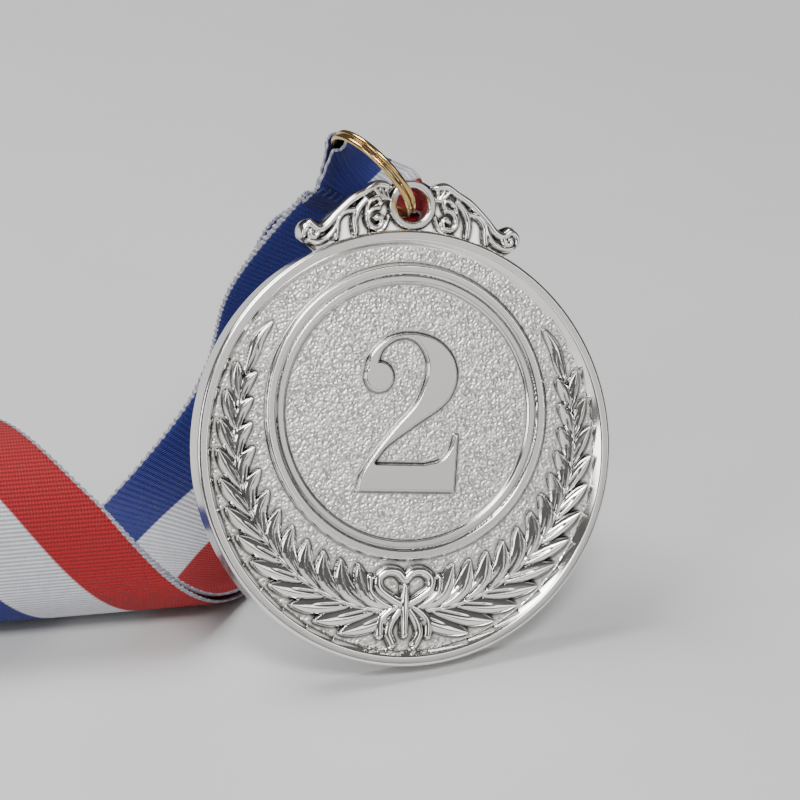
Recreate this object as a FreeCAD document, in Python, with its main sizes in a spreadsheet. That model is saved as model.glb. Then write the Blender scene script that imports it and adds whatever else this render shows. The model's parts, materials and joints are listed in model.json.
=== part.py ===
import FreeCAD, Part
import math
import os

import Sketcher
from FreeCAD import Placement, Rotation, Vector

# Award medal on a folded neck ribbon, standing on its rim and leaning back.
# Millimetres, +Z up, the medal's face towards -Y, the table at Z = 0.
# The medal hangs from a split ring in the hole of its crest. The ring runs in a sleeve of
# folded ribbon with two tails behind the medal. The rear tail goes down like an easel's leg
# to a crease on the table and then forwards, flat on the table. The front tail swings
# straight down onto it, and both curl up to the left together and end in a roll.

DIMS = [
    # alias, value, what it is
    ("disc_radius", 25.5, "medal disc, outside radius"),
    ("disc_thick", 3.8, "medal rim, front to back"),
    ("rim_flat", 1.1, "width of the rim's flat front"),
    ("rim_slope", 0.8, "width of the sloped wall inside the rim"),
    ("rim_edge", 0.25, "bevel on the rim's outer corners"),
    ("field_drop", 0.9, "front field, below the rim's front"),
    ("back_drop", 0.4, "back field, below the rim's back"),
    ("band_up", 4.2, "raised band's centre, above the disc's centre"),
    ("band_outer", 17.5, "raised band, outside radius"),
    ("band_step", 16.5, "radius of the step in the band"),
    ("band_inner", 15.15, "raised band, inside radius"),
    ("band_high", 0.42, "outer step of the band, above the field"),
    ("band_low", 0.28, "inner step of the band, above the field"),
    ("numeral_high", 0.5, "numeral, above the field"),
    ("crest_thick", 2.4, "crest plate, front to back"),
    ("crest_half_width", 13.2, "crest, half its width"),
    ("crest_top", 31.3, "crest's top, above the disc's centre"),
    ("crest_foot", 21.0, "crest's lower corners, above the disc's centre"),
    ("curl_radius", 1.25, "curled ends of the crest"),
    ("curl_up", 24.6, "curled ends, above the disc's centre"),
    ("collar_radius", 3.0, "flat collar round the hanging hole"),
    ("collar_proud", 0.3, "collar, proud of the crest plate on each side"),
    ("hole_radius", 2.0, "hanging hole"),
    ("hole_up", 28.4, "hanging hole, above the disc's centre"),
    ("lean_angle", 24.4, "medal leans back from upright, degrees"),
    ("turn_angle", 10.4, "medal turned clockwise in its own plane, degrees"),
    ("foot_east", 31.24, "X of the point where the rim stands on the table"),
    ("foot_north", -25.3, "Y of the point where the rim stands on the table"),
    ("split_ring_radius", 6.1, "split ring, centre to middle of the wire"),
    ("wire_radius", 0.42, "split ring wire"),
    ("turn_gap", 0.02, "split ring, between its two turns"),
    ("step_angle", 30.0, "split ring, where the wire steps from one turn to the other, degrees"),
    ("end_gap", 5.0, "split ring, from the step to each cut end, degrees"),
    ("ring_tilt", 34.0, "ring leans to the left of the medal's top, degrees"),
    ("ring_left", 3.8, "ring's centre, left of the hanging hole"),
    ("ring_rise", 4.26, "ring's centre, above the hanging hole, along the medal"),
    ("sleeve_radius", 1.9, "ribbon sleeve, outside radius of its tube"),
    ("sleeve_bore", 1.2, "ribbon sleeve, inside radius of its tube"),
    ("sleeve_low", 45.0, "sleeve reaches this far from the ring's back towards the medal, degrees"),
    ("sleeve_high", 65.0, "sleeve reaches this far from the ring's back towards its top, degrees"),
    ("ribbon_wide", 25.0, "ribbon width"),
    ("ribbon_gather", 5.0, "ribbon width where it is gathered on the split ring"),
    ("tail_start", 2.6, "each tail's upper end, below the middle of the ring's wire"),
    ("ribbon_thick", 0.8, "ribbon, one layer with its loft"),
    ("curl_east", -14.8, "start of the curl's axis, from the medal's foot"),
    ("curl_north", 24.0, "start of the curl's axis, from the medal's foot"),
    ("curl_heading", 168.5, "direction of the curl's axis, degrees from +X"),
    ("curl_wind_radius", 12.5, "curl and roll, outside radius"),
    ("curl_pitch", 62.5, "curl, advance in one turn"),
    ("curl_start", 14.6, "curl's middle at its lowest point, along its axis"),
    ("curl_ease", 120.0, "from here on the curl advances less and less, degrees from its lowest point"),
    ("roll_place", 60.0, "middle of the roll, along the curl's axis"),
    ("stitch_count", 6, "stitches in the seam that closes the sleeve"),
    ("stitch_pitch", 1.1, "one stitch to the next"),
    ("seam_below", 0.8, "seam, below the top of the tails"),
    ("stitch_long", 2.6, "stitch, through both layers"),
    ("thread_radius", 0.18, "sewing thread"),
    ("flat_run", 31.4, "tails' flat stretch on the table, crease to curl"),
    ("layer_gap", 0.15, "air between the two tails"),
]

doc = FreeCAD.newDocument("award_medal")
sheet = doc.addObject("Spreadsheet::Sheet", "dims")
for row, (alias, value, meaning) in enumerate(DIMS, start=1):
    sheet.set(f"A{row}", alias)
    sheet.set(f"B{row}", str(value))
    sheet.set(f"C{row}", meaning)
    sheet.setAlias(f"B{row}", alias)
doc.recompute()


def size(alias):
    return float(sheet.get(alias))


# ---------------------------------------------------------------- places

def unit(vector):
    return Vector(vector) / Vector(vector).Length


lean = math.radians(size("lean_angle"))
foot = Vector(size("foot_east"), size("foot_north"), 0)
face_normal = Vector(0, -math.cos(lean), math.sin(lean))
steepest = Vector(0, math.sin(lean), math.cos(lean))
in_its_plane = Rotation(Vector(0, 0, 1), -size("turn_angle"))
medal_turn = Rotation(Vector(1, 0, 0), 90 - size("lean_angle")) * in_its_plane
# The rim's back corner would meet the table at the foot; the bevel there lets it down a little.
bevel_drop = Vector(0, 0, size("rim_edge") * math.sin(lean))
disc_centre = foot + steepest * size("disc_radius") + face_normal * (size("disc_thick") / 2) - bevel_drop
crest_up = medal_turn.multVec(Vector(0, 1, 0))
hole_centre = disc_centre + crest_up * size("hole_up")

# The ring's plane holds the medal's normal and a line that leans left of the steepest one.
tilt = math.radians(size("ring_tilt"))
ring_up = Vector(-math.sin(tilt), 0, 0) + steepest * math.cos(tilt)
ring_axis = unit(ring_up.cross(face_normal))
ring_centre = hole_centre - Vector(size("ring_left"), 0, 0) + steepest * size("ring_rise")

# The curl winds round a level axis, a little above the table.
heading = math.radians(size("curl_heading"))
curl_along = Vector(math.cos(heading), math.sin(heading), 0)
curl_back = Vector(math.sin(heading), -math.cos(heading), 0)
curl_origin = foot + Vector(size("curl_east"), size("curl_north"), size("curl_wind_radius"))


# ---------------------------------------------------------------- document helpers

def origin_plane(body, role):
    return next(item for item in body.Origin.OriginFeatures if item.Role == role)


def new_sketch(body, name, role, height=None):
    """A sketch on one of the body's own origin planes, raised by an expression."""
    sketch = body.newObject("Sketcher::SketchObject", name)
    sketch.AttachmentSupport = [(origin_plane(body, role), "")]
    sketch.MapMode = "FlatFace"
    if height:
        sketch.setExpression("AttachmentOffset.Base.z", height)
    return sketch


def add_outline(sketch, corners):
    """A closed outline of straight lines whose corners are pairs of expressions."""
    places = [[float(sketch.evalExpression(text)) for text in corner] for corner in corners]
    points = [Vector(x, y, 0) for x, y in places]
    first = sketch.GeometryCount
    for index, point in enumerate(points):
        sketch.addGeometry(Part.LineSegment(point, points[(index + 1) % len(points)]), False)
    for index, (x, y) in enumerate(corners):
        line = first + index
        before = first + (index - 1) % len(points)
        sketch.addConstraint(Sketcher.Constraint("Coincident", before, 2, line, 1))
        for kind, value, text in (("DistanceX", points[index].x, x), ("DistanceY", points[index].y, y)):
            number = sketch.addConstraint(Sketcher.Constraint(kind, -1, 1, line, 1, value))
            sketch.setExpression(f"Constraints[{number}]", text)


def add_circle(sketch, radius, up="0", side="0"):
    """A circle with its radius and centre given as expressions."""
    place = Vector(float(sketch.evalExpression(side)), float(sketch.evalExpression(up)), 0)
    reach = float(sketch.evalExpression(radius))
    circle = sketch.addGeometry(Part.Circle(place, Vector(0, 0, 1), reach), False)
    number = sketch.addConstraint(Sketcher.Constraint("Radius", circle, reach))
    sketch.setExpression(f"Constraints[{number}]", radius)
    for kind, value, text in (("DistanceX", place.x, side), ("DistanceY", place.y, up)):
        number = sketch.addConstraint(Sketcher.Constraint(kind, -1, 1, circle, 3, value))
        sketch.setExpression(f"Constraints[{number}]", text)


def pad(body, sketch, name, length, midplane=False, down=False):
    feature = body.newObject("PartDesign::Pad", name)
    feature.Profile = sketch
    feature.setExpression("Length", length)
    feature.Midplane = midplane
    feature.Reversed = down
    return feature


# ---------------------------------------------------------------- medal

def build_medal():
    """The die-cast medal: disc with a raised rim, eccentric stepped band, numeral and crest."""
    body = doc.addObject("PartDesign::Body", "medal")
    body.Label = "medal"

    profile = new_sketch(body, "disc_profile", "XZ_Plane")
    half = "dims.disc_thick / 2"
    add_outline(profile, [
        ("0", f"-{half} + dims.back_drop"),
        ("dims.disc_radius - dims.rim_flat - dims.rim_slope", f"-{half} + dims.back_drop"),
        ("dims.disc_radius - dims.rim_flat", f"-{half}"),
        ("dims.disc_radius - dims.rim_edge", f"-{half}"),
        ("dims.disc_radius", f"-{half} + dims.rim_edge"),
        ("dims.disc_radius", f"{half} - dims.rim_edge"),
        ("dims.disc_radius - dims.rim_edge", half),
        ("dims.disc_radius - dims.rim_flat", half),
        ("dims.disc_radius - dims.rim_flat - dims.rim_slope", f"{half} - dims.field_drop"),
        ("0", f"{half} - dims.field_drop"),
    ])
    disc = body.newObject("PartDesign::Revolution", "disc")
    disc.Profile = profile
    disc.ReferenceAxis = (profile, ["V_Axis"])
    disc.Angle = 360

    # Crest outline, as shares of its half width and of its height above its lower corners:
    # from the collar down the sloping shoulder to the curled end, then back under the rim.
    shoulder = [(0.0, 1.0), (0.29, 1.0), (0.45, 0.86), (0.60, 0.70),
                (0.76, 0.55), (0.90, 0.42), (0.97, 0.22), (0.86, 0.0)]
    high = "(dims.crest_top - dims.crest_foot)"
    right = [(f"dims.crest_half_width * {x}", f"dims.crest_foot + {high} * {y}") for x, y in shoulder]
    left = [(f"-{x}", y) for x, y in reversed(right[1:])]
    crest_sketch = new_sketch(body, "crest_outline", "XY_Plane")
    add_outline(crest_sketch, right + left)
    pad(body, crest_sketch, "crest", "dims.crest_thick", midplane=True)

    for side, sign in (("right", ""), ("left", "-")):
        curl = new_sketch(body, f"curl_{side}", "XY_Plane")
        side_place = f"{sign}(dims.crest_half_width - dims.curl_radius)"
        add_circle(curl, "dims.curl_radius", "dims.curl_up", side_place)
        pad(body, curl, f"crest_curl_{side}", "dims.crest_thick + dims.collar_proud", midplane=True)
    collar = new_sketch(body, "collar_outline", "XY_Plane")
    add_circle(collar, "dims.collar_radius", "dims.hole_up")
    pad(body, collar, "collar", "dims.crest_thick + 2 * dims.collar_proud", midplane=True)

    field = "dims.disc_thick / 2 - dims.field_drop"
    for name, outer, high in (("band_outer_step", "dims.band_outer", "dims.band_high"),
                              ("band_inner_step", "dims.band_step", "dims.band_low")):
        band = new_sketch(body, f"{name}_outline", "XY_Plane", field)
        add_circle(band, outer, "dims.band_up")
        inner = "dims.band_step" if outer == "dims.band_outer" else "dims.band_inner"
        add_circle(band, inner, "dims.band_up")
        pad(body, band, name, high)

    # The numeral two: bowl, ball end, diagonal and foot, as corners round its outline.
    numeral = new_sketch(body, "numeral_outline", "XY_Plane", field)
    add_outline(numeral, [(str(x), str(y)) for x, y in (
        (-6.2, -5.2), (6.1, -5.2), (6.4, -1.5), (5.8, 1.8), (4.6, -0.8), (2.3, -1.7), (-3.8, -1.7),
        (-2.3, 0.1), (1.0, 2.5), (4.4, 4.9), (6.0, 7.4), (6.1, 9.8), (4.6, 12.2), (1.2, 13.6),
        (-2.6, 12.9), (-5.2, 10.8), (-5.9, 8.2), (-4.4, 6.5), (-2.6, 6.6), (-1.8, 8.4), (-2.9, 10.0),
        (-3.4, 11.2), (-1.4, 12.4), (0.8, 12.0), (2.2, 10.0), (2.2, 8.4), (0.8, 5.2), (-1.5, 2.7),
        (-4.0, -0.2), (-5.9, -3.2))])
    pad(body, numeral, "numeral", "dims.numeral_high")

    hole_sketch = new_sketch(body, "hole_outline", "XY_Plane")
    add_circle(hole_sketch, "dims.hole_radius", "dims.hole_up")
    doc.recompute()
    before = body.Shape.Volume
    hole = body.newObject("PartDesign::Pocket", "hanging_hole")
    hole.Profile = hole_sketch
    hole.Type = "ThroughAll"
    hole.Midplane = True
    doc.recompute()
    if body.Shape.Volume > before - 1:
        raise ValueError("the hanging hole cuts nothing")
    body.Placement = Placement(disc_centre, medal_turn)
    return body


# ---------------------------------------------------------------- split ring and sleeve

def ring_rotation(start):
    """Turns local Z onto the ring's axis and local X onto the direction start, in the ring's plane."""
    return Rotation(start, ring_axis.cross(start), ring_axis, "ZXY")


def torus(name, start, angle, radius):
    """A stretch of round tube on the ring's circle, from a direction in the ring's plane."""
    tube = doc.addObject("Part::Torus", name)
    tube.setExpression("Radius1", "dims.split_ring_radius")
    tube.setExpression("Radius2", radius)
    tube.setExpression("Angle3", angle)
    tube.Placement = Placement(ring_centre, ring_rotation(start))
    return tube


def build_split_ring():
    """Two turns of round wire side by side; the wire steps from one to the other at the back."""
    step, rise = size("step_angle") / 2, size("wire_radius") + size("turn_gap") / 2
    back = face_normal * -1
    turn_arc = "360 - dims.step_angle - dims.end_gap"
    pieces = []
    for name, side, start in (("left_turn", -1, step + size("end_gap")), ("right_turn", 1, step)):
        turn = torus(name, Rotation(ring_axis, start).multVec(back), turn_arc, "dims.wire_radius")
        turn.Placement = Placement(ring_centre + ring_axis * (side * rise), turn.Placement.Rotation)
        pieces.append(turn)
    ends = []
    for side in (-1, 1):
        outward = Rotation(ring_axis, side * step).multVec(back)
        ends.append(ring_centre + ring_axis * (side * rise) + outward * size("split_ring_radius"))
    bridge = doc.addObject("Part::Cylinder", "step_between_turns")
    bridge.setExpression("Radius", "dims.wire_radius")
    bridge.Height = (ends[1] - ends[0]).Length
    bridge.Placement = Placement(ends[0], Rotation(Vector(0, 0, 1), ends[1] - ends[0]))
    pieces.append(bridge)
    for name, place in zip(("step_elbow_left", "step_elbow_right"), ends):
        elbow = doc.addObject("Part::Sphere", name)
        elbow.setExpression("Radius", "dims.wire_radius")
        elbow.Placement = Placement(place, Rotation())
        pieces.append(elbow)
    ring = doc.addObject("Part::MultiFuse", "split_ring")
    ring.Shapes = pieces
    ring.Label = "split_ring"
    return ring


def build_sleeve():
    """The fold of ribbon that the ring runs in: a tube bent along the ring's back half."""
    first = Rotation(ring_axis, -size("sleeve_low")).multVec(face_normal * -1)
    arc = "dims.sleeve_low + dims.sleeve_high"
    sleeve = doc.addObject("Part::Cut", "ribbon_sleeve")
    sleeve.Base = torus("sleeve_skin", first, arc, "dims.sleeve_radius")
    sleeve.Tool = torus("sleeve_channel", first, arc, "dims.sleeve_bore")
    sleeve.Label = "ribbon_sleeve"
    return sleeve


# ---------------------------------------------------------------- ribbon

# Across the gathered ribbon below the ring, from its left selvage to its right one.
TOP_ACROSS = Vector(0.85, -0.1, -0.5)


def section(middle, across, normal, wide, thick):
    """The four corners of a rectangular cross-section of the ribbon."""
    a = unit(across) * (wide / 2)
    n = unit(normal) * (thick / 2)
    return [middle - a - n, middle + a - n, middle + a + n, middle - a + n]


def strap(name, stations):
    """A strap of flat facets through its stations: each is (middle, across, normal, width, thickness)."""
    sections = [section(*station) for station in stations]
    outlines = [sections[0], sections[-1]]
    for near, far in zip(sections, sections[1:]):
        for side in range(4):
            after = (side + 1) % 4
            # Both faces of the strap are folded along the same diagonal.
            if side < 2:
                outlines += [[near[side], near[after], far[after]], [near[side], far[after], far[side]]]
            else:
                outlines += [[near[side], near[after], far[side]], [near[after], far[after], far[side]]]
    shell = Part.Shell([Part.Face(Part.makePolygon([*outline, outline[0]])) for outline in outlines])
    shell.sewShape()
    if Part.Solid(shell).Volume < 0:
        shell.reverse()
    feature = doc.addObject("Part::Feature", name)
    feature.Label = name
    feature.Shape = Part.Solid(shell)
    return feature


def curl_station(angle):
    """The outer layer where it winds round the curl's axis: middle, across, outward and width.

    The angle is in degrees from the lowest point, positive up the front. The section is cut
    along the axis, where the ribbon is straight, so it is wider than the ribbon itself. After
    a third of a turn the advance eases off and the ribbon runs into the roll.
    """
    turn = math.radians(angle)
    outward = curl_back * -math.sin(turn) - Vector(0, 0, math.cos(turn))
    radius = size("curl_wind_radius") - size("ribbon_thick") / 2
    slope = size("curl_pitch") / 360
    ease = size("curl_ease")
    along = size("curl_start") + slope * min(angle, ease)
    if angle > ease:
        left = size("roll_place") - along
        fade = math.exp(-slope * (angle - ease) / left)
        along, slope = size("roll_place") - left * fade, slope * fade
    pace = math.atan2(math.degrees(slope), radius)
    middle = curl_origin + curl_along * along + outward * radius
    return middle, curl_along * -1, outward, size("ribbon_wide") / math.cos(pace)


def sleeve_edge(layer):
    """Where a tail leaves the sleeve: the front one is layer 1, the rear one layer -1."""
    apart = face_normal * (layer * (size("ribbon_thick") + size("layer_gap")) / 2)
    ring_back = ring_centre - face_normal * size("split_ring_radius")
    return ring_back - ring_axis * size("tail_start") + apart


def build_rear_tail():
    """The hidden tail: down to a slanting crease on the table, then forwards to the curl."""
    wide, thick = size("ribbon_wide"), size("ribbon_thick")
    end, along_line, down, line_wide = curl_station(0)
    pace = math.acos(wide / line_wide)
    run_back = curl_back * math.cos(pace) - curl_along * math.sin(pace)
    crease_place = end + run_back * size("flat_run")
    top = sleeve_edge(-1)
    leg_high, leg_low = foot + Vector(1.6, 33.0, 38.0), foot + Vector(-0.4, 40.0, 20.0)
    leg = unit(crease_place - leg_low)
    # The crease lies on the table and makes the same angle with the leg and the flat run.
    crease = unit(Vector(0, 0, 1).cross(leg + run_back))
    if crease.x < 0:
        crease = crease * -1
    opening = math.acos((leg * -1).dot(run_back * -1)) / 2
    leg_across = unit(crease - leg * crease.dot(leg))
    leg_back = leg_across.cross(leg)
    crease_wide = wide / abs(crease.cross(run_back).z)
    return strap("ribbon_rear_tail", [
        (top, TOP_ACROSS, TOP_ACROSS.cross(leg_high - top), size("ribbon_gather"), thick),
        (leg_high, TOP_ACROSS + leg_across, leg_back, 20.0, thick),
        (leg_low, leg_across, leg_back, wide, thick),
        (crease_place, crease, unit(leg + run_back), crease_wide, thick / math.sin(opening)),
        (end, along_line, down, line_wide, thick),
    ])


def build_front_tail():
    """The tail seen beside the medal: it swings down in front of the other one onto the curl."""
    wide, thick = size("ribbon_wide"), size("ribbon_thick")
    end, along_line, down, line_wide = curl_station(0)
    end = end + Vector(0, 0, thick + size("layer_gap"))
    route = [
        (sleeve_edge(1), TOP_ACROSS, size("ribbon_gather")),
        (foot + Vector(4.0, 29.5, 43.0), TOP_ACROSS, 15.0),
        (foot + Vector(-1.0, 33.0, 30.0), Vector(0.86, -0.31, -0.41), wide),
        (foot + Vector(-7.6, 34.0, 13.0), Vector(0.63, -0.59, -0.5), wide),
        (foot + Vector(-19.4, 34.5, 3.6), Vector(0.65, -0.76, -0.02), wide),
        (end, along_line, line_wide),
    ]
    stations = []
    for before, here, after in zip([route[0], *route], route, route[1:]):
        run = after[0] - before[0]
        stations.append((here[0], here[1], here[1].cross(run), here[2], thick))
    stations.append((end, along_line, down, line_wide, thick))
    return strap("ribbon_front_tail", stations)


def build_stitching():
    """The seam just below the sleeve: a row of stitches through both layers."""
    group = []
    seam = (sleeve_edge(1) + sleeve_edge(-1)) / 2 - ring_axis * size("seam_below")
    for number in range(int(size("stitch_count"))):
        offset = (number - (size("stitch_count") - 1) / 2) * size("stitch_pitch")
        start = seam + ring_up * offset + face_normal * (size("stitch_long") / 2)
        group.append(Part.makeCylinder(size("thread_radius"), size("stitch_long"), start, face_normal * -1))
    feature = doc.addObject("Part::Feature", "ribbon_stitching")
    feature.Label = "ribbon_stitching"
    feature.Shape = Part.makeCompound(group)
    return feature


def build_curl():
    """Both layers where they wind up off the table and round the outside of the roll."""
    both = 2 * size("ribbon_thick") + size("layer_gap")
    inward = (both - size("ribbon_thick")) / 2
    stations = []
    for angle in range(0, 361, 20):
        middle, across, outward, breadth = curl_station(angle)
        stations.append((middle - outward * inward, across, outward, breadth, both))
    return strap("ribbon_curl", stations)


def build_roll():
    """The rest of both layers, wound up inside the curl's last turn."""
    both = 2 * size("ribbon_thick") + size("layer_gap")
    roll = doc.addObject("Part::Cylinder", "ribbon_roll")
    roll.Label = "ribbon_roll"
    roll.setExpression("Height", "dims.ribbon_wide")
    roll.Radius = size("curl_wind_radius") - both
    near_end = curl_origin + curl_along * (size("roll_place") - size("ribbon_wide") / 2)
    roll.Placement = Placement(near_end, Rotation(Vector(0, 0, 1), curl_along))
    return roll


# ---------------------------------------------------------------- build, check, write

kept = [build_medal(), build_split_ring(), build_sleeve(), build_rear_tail(), build_front_tail(),
        build_curl(), build_roll(), build_stitching()]
doc.recompute()

for item in doc.Objects:
    if {"Invalid", "Error"} & set(item.State):
        raise ValueError(f"{item.Name} failed: {item.State}")
os.makedirs("parts", exist_ok=True)
for item in kept:
    shape = item.Shape
    if shape.isNull() or not shape.isValid():
        raise ValueError(f"{item.Label} has no valid shape")
for item in kept:
    item.Shape.exportStep(f"parts/{item.Label}.step")
    box = item.Shape.BoundBox
    print(f"{item.Label}: {item.Shape.Volume:.0f} mm3, {len(item.Shape.Solids)} solid(s)")
    print(f"  X {box.XMin:.1f}..{box.XMax:.1f} Y {box.YMin:.1f}..{box.YMax:.1f}"
          f" Z {box.ZMin:.2f}..{box.ZMax:.1f}")
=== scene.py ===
import json
import math

import bmesh
import bpy
import numpy as np
from mathutils import Matrix, Vector


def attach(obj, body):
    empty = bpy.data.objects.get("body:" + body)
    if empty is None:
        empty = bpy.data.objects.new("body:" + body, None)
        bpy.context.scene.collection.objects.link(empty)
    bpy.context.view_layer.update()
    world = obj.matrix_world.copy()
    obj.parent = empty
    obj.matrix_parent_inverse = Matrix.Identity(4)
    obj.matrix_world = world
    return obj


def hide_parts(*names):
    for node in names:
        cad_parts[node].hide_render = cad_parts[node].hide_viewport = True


# An award medal on a folded neck ribbon. Lengths are in millimetres until a mesh is made.

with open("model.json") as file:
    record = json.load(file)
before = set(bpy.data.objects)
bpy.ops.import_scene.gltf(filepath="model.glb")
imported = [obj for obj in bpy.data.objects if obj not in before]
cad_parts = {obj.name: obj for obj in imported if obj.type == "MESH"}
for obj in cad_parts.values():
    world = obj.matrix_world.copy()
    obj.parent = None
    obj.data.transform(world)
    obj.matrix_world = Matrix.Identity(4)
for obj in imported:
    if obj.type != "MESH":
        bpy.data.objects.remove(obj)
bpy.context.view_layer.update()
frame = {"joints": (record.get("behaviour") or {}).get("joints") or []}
MM = 0.001


def unit(vector):
    """A vector of length one."""
    vector = np.asarray(vector, float)
    return vector / np.linalg.norm(vector)


def turned(vector, axis, degrees):
    """A vector, or rows of them, turned about an axis."""
    turn = np.array(Matrix.Rotation(math.radians(degrees), 3, Vector(axis)))
    return np.asarray(vector) @ turn.T


# ---------------------------------------------------------------- places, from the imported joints

JOINTS = {joint["name"]: joint for joint in frame["joints"]}
HOLE = np.array(JOINTS["medal_swing"]["pos_m"]) / MM
FACE = unit(JOINTS["medal_swing"]["axis"])
RING_CENTRE = np.array(JOINTS["ring_turn"]["pos_m"]) / MM
RING_AXIS = unit(JOINTS["ring_turn"]["axis"])
STEEPEST = np.array([0, FACE[2], -FACE[1]])

DISC_RADIUS, DISC_HALF = 25.5, 1.9
HOLE_UP, HOLE_RADIUS = 28.4, 1.97
MEDAL_TURN = math.radians(10.4)
CREST_UP = STEEPEST * math.cos(MEDAL_TURN) + np.array([1, 0, 0]) * math.sin(MEDAL_TURN)
MEDAL_RIGHT = np.cross(CREST_UP, FACE)
DISC = HOLE - CREST_UP * HOLE_UP
FOOT = (DISC - STEEPEST * DISC_RADIUS - FACE * DISC_HALF) * [1, 1, 0]

RING_RADIUS, WIRE = 6.1, 0.33
RIBBON_WIDE, LAYER, CLOTH = 25.0, 0.8, 0.6


# ---------------------------------------------------------------- mesh helpers

def make_mesh(name, verts, quads, materials, index=None):
    """A smooth object from rows of points in millimetres and rows of four corner numbers."""
    mesh = bpy.data.meshes.new(name)
    mesh.vertices.add(len(verts))
    mesh.vertices.foreach_set("co", (np.asarray(verts, np.float32) * MM).ravel())
    mesh.loops.add(quads.size)
    mesh.loops.foreach_set("vertex_index", quads.astype(np.int32).ravel())
    mesh.polygons.add(len(quads))
    mesh.polygons.foreach_set("loop_start", np.arange(0, quads.size, 4, dtype=np.int32))
    for material in materials:
        mesh.materials.append(material)
    if index is not None:
        mesh.polygons.foreach_set("material_index", index.astype(np.int32))
    mesh.polygons.foreach_set("use_smooth", np.full(len(quads), True))
    mesh.update(calc_edges=True)
    mesh.validate()
    thing = bpy.data.objects.new(name, mesh)
    bpy.context.scene.collection.objects.link(thing)
    return thing


def grid_quads(rows, columns, close_rows=False, close_columns=False):
    """Corner numbers of a grid of points, as rows of four."""
    i = np.arange(rows if close_rows else rows - 1)
    j = np.arange(columns if close_columns else columns - 1)
    i, j = (a.ravel() for a in np.meshgrid(i, j, indexing="ij"))
    down, across = (i + 1) % rows, (j + 1) % columns
    return np.stack([i * columns + j, i * columns + across, down * columns + across, down * columns + j], 1)


def spline(points, steps):
    """A smooth open line through a few points."""
    points = np.asarray(points, float)
    ends = np.vstack([2 * points[0] - points[1], points, 2 * points[-1] - points[-2]])
    rows = []
    for k in range(len(points) - 1):
        a, b, c, d = ends[k:k + 4]
        t = np.linspace(0, 1, steps, endpoint=False)[:, None]
        rows.append(0.5 * (2 * b + (c - a) * t + (2 * a - 5 * b + 4 * c - d) * t**2
                           + (3 * b - a - 3 * c + d) * t**3))
    return np.vstack([*rows, points[-1:]])


def tube(path, radius, sides, flat=None):
    """Points and quads of a round tube along an open path, with its ends closed by a taper."""
    path = np.asarray(path, float)
    tangent = np.gradient(path, axis=0)
    tangent /= np.linalg.norm(tangent, axis=1)[:, None]
    guide = np.array([0.3, 0.2, 0.93]) if flat is None else np.asarray(flat, float)
    side = np.cross(tangent, guide)
    side /= np.linalg.norm(side, axis=1)[:, None]
    other = np.cross(side, tangent)
    taper = np.ones(len(path))
    taper[0] = taper[-1] = 0.02
    taper[1] = taper[-2] = 0.9
    turn = np.linspace(0, 2 * math.pi, sides, endpoint=False)
    ring = np.cos(turn)[None, :, None] * side[:, None] + np.sin(turn)[None, :, None] * other[:, None]
    verts = path[:, None] + ring * (radius * taper)[:, None, None]
    return verts.reshape(-1, 3), grid_quads(len(path), sides, close_columns=True)


def line_distance(x, y, line):
    """Signed distance from points to an open line, and how far along the line, 0 to 1."""
    best = np.full(x.shape, 1e9)
    side = np.zeros(x.shape)
    along = np.zeros(x.shape)
    for k in range(len(line) - 1):
        (ax, ay), (bx, by) = line[k], line[k + 1]
        dx, dy = bx - ax, by - ay
        t = np.clip(((x - ax) * dx + (y - ay) * dy) / max(dx * dx + dy * dy, 1e-12), 0, 1)
        ex, ey = x - ax - t * dx, y - ay - t * dy
        d = np.hypot(ex, ey)
        near = d < best
        best = np.where(near, d, best)
        side = np.where(near, np.sign(dx * ey - dy * ex), side)
        along = np.where(near, (k + t) / (len(line) - 1), along)
    return best * side, along


def outline_distance(x, y, outline):
    """Distance from points to a closed outline, negative inside."""
    closed = np.vstack([outline, outline[:1]])
    distance = np.abs(line_distance(x, y, closed)[0])
    inside = np.zeros(x.shape, bool)
    for (ax, ay), (bx, by) in zip(closed, closed[1:]):
        if ay != by:
            inside ^= ((ay > y) != (by > y)) & (x < (bx - ax) * (y - ay) / (by - ay) + ax)
    return np.where(inside, -distance, distance)


def rise(distance, width):
    """0 outside, 1 inside by more than width, smooth between."""
    t = np.clip(-distance / width, 0, 1)
    return t * t * (3 - 2 * t)


def ridge(x, y, line, width, high):
    """A rounded ridge along a line."""
    d = np.abs(line_distance(x, y, line)[0]) / (width / 2)
    return high * np.sqrt(np.clip(1 - d**2, 0, 1))


def mirrored(line):
    """A line reflected from left to right."""
    return np.asarray(line) * [-1, 1]


def fix_normals(thing):
    """Turn every face of a closed shell outwards."""
    mesh = bmesh.new()
    mesh.from_mesh(thing.data)
    bmesh.ops.recalc_face_normals(mesh, faces=mesh.faces)
    mesh.to_mesh(thing.data)
    mesh.free()


# ---------------------------------------------------------------- materials

def new_material(name):
    """A material with its nodes, its links and its shader."""
    material = bpy.data.materials.new(name)
    material.use_nodes = True
    tree = material.node_tree
    return material, tree.nodes, tree.links, tree.nodes["Principled BSDF"]


def noise_node(nodes, links, scale, detail=3.0):
    """Noise fixed to the object, with its scale in cells a metre."""
    place = nodes.new("ShaderNodeTexCoord")
    noise = nodes.new("ShaderNodeTexNoise")
    noise.inputs["Scale"].default_value = scale
    noise.inputs["Detail"].default_value = detail
    links.new(place.outputs["Object"], noise.inputs["Vector"])
    return noise


def ramp_node(nodes, links, source, stops):
    """A colour ramp through stops of (position, colour), where a grey has one number."""
    ramp = nodes.new("ShaderNodeValToRGB")
    while len(ramp.color_ramp.elements) < len(stops):
        ramp.color_ramp.elements.new(0.5)
    for element, (position, colour) in zip(ramp.color_ramp.elements, stops):
        element.position = position
        element.color = (*colour, 1) if len(colour) == 3 else (colour[0],) * 3 + (1,)
    links.new(source, ramp.inputs["Fac"])
    return ramp


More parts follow.
